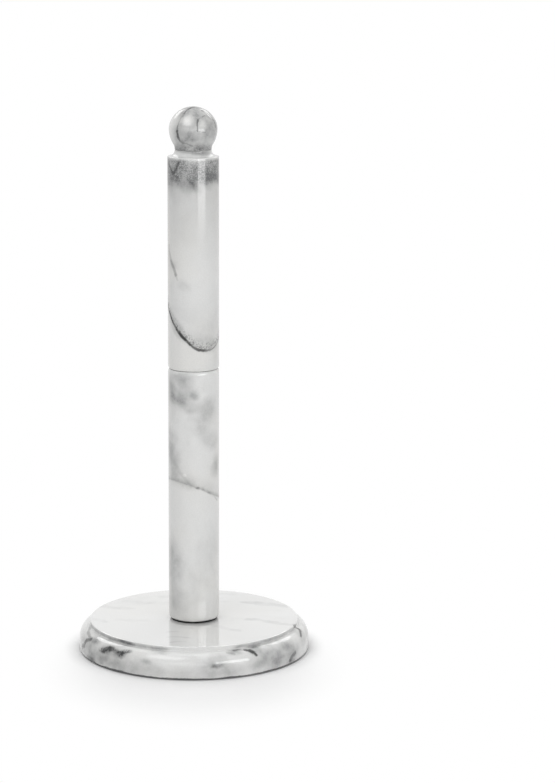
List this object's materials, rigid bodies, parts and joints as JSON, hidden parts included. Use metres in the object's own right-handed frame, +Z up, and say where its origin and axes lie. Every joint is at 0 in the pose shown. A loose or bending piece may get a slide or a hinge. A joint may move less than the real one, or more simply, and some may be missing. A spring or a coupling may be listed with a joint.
{
  "type": "paper towel holder",
  "caption": "Free-standing kitchen roll holder: a turned and polished veined-stone post in screwed sections on a round stone base with a moulded rim, topped by a ball finial.",
  "frame": {"origin": "on the table under the centre of the base, at the lower face of the foot pads", "axes": "+Z up along the post; the front, as pictured, faces -Y; +X to the viewer's right"},
  "size_m": [0.14, 0.14, 0.3315],
  "materials": {
    "veined_stone": "polished, white to pale grey with dark grey veins and clouds",
    "foot_rubber": "matt moulded",
    "black_rubber": "matt, cut from sheet",
    "plated_steel": "zinc plated, satin",
    "insert_brass": "turned and knurled",
    "grey_fibre": "pressed fibre sheet"
  },
  "bodies": {
    "base": {"base_disc": "veined_stone", "foot_pad_1": "foot_rubber", "foot_pad_2": "foot_rubber", "foot_pad_3": "foot_rubber", "foot_pad_4": "foot_rubber", "base_bolt": "plated_steel", "base_flat_washer": "plated_steel", "base_spring_washer": "plated_steel"},
    "base_joint_washer": {"base_joint_washer": "black_rubber"},
    "lower_post": {"lower_post": "veined_stone", "lower_post_bottom_insert": "insert_brass", "lower_post_top_insert": "insert_brass"},
    "middle_joint_washer": {"middle_joint_washer": "grey_fibre"},
    "upper_post": {"upper_post": "veined_stone", "middle_stud": "plated_steel", "upper_post_top_insert": "insert_brass"},
    "finial_washer": {"finial_washer": "grey_fibre"},
    "finial": {"ball_finial": "veined_stone", "finial_stud": "plated_steel"}
  },
  "joints": [
    {"name": "lower_post_lift", "type": "slide", "parent": "base", "child": "base_joint_washer", "axis": [0, 0, 1], "range_m": [0, 0.0125]},
    {"name": "lower_post_turn", "type": "hinge", "parent": "base_joint_washer", "child": "lower_post", "pos_m": [0, 0, 0.0197], "axis": [0, 0, 1], "range_deg": [0, 3600]},
    {"name": "upper_post_lift", "type": "slide", "parent": "lower_post", "child": "middle_joint_washer", "axis": [0, 0, 1], "range_m": [0, 0.0125]},
    {"name": "upper_post_turn", "type": "hinge", "parent": "middle_joint_washer", "child": "upper_post", "pos_m": [0, 0, 0.1746], "axis": [0, 0, 1], "range_deg": [0, 3600]},
    {"name": "finial_lift", "type": "slide", "parent": "upper_post", "child": "finial_washer", "axis": [0, 0, 1], "range_m": [0, 0.01]},
    {"name": "finial_turn", "type": "hinge", "parent": "finial_washer", "child": "finial", "pos_m": [0, 0, 0.30615], "axis": [0, 0, 1], "range_deg": [0, 2880]}
  ],
  "couplings": [
    {"joint": "lower_post_lift", "follows": "lower_post_turn", "m_per_rad": 0.00019894},
    {"joint": "upper_post_lift", "follows": "upper_post_turn", "m_per_rad": 0.00019894},
    {"joint": "finial_lift", "follows": "finial_turn", "m_per_rad": 0.00019894}
  ]
}
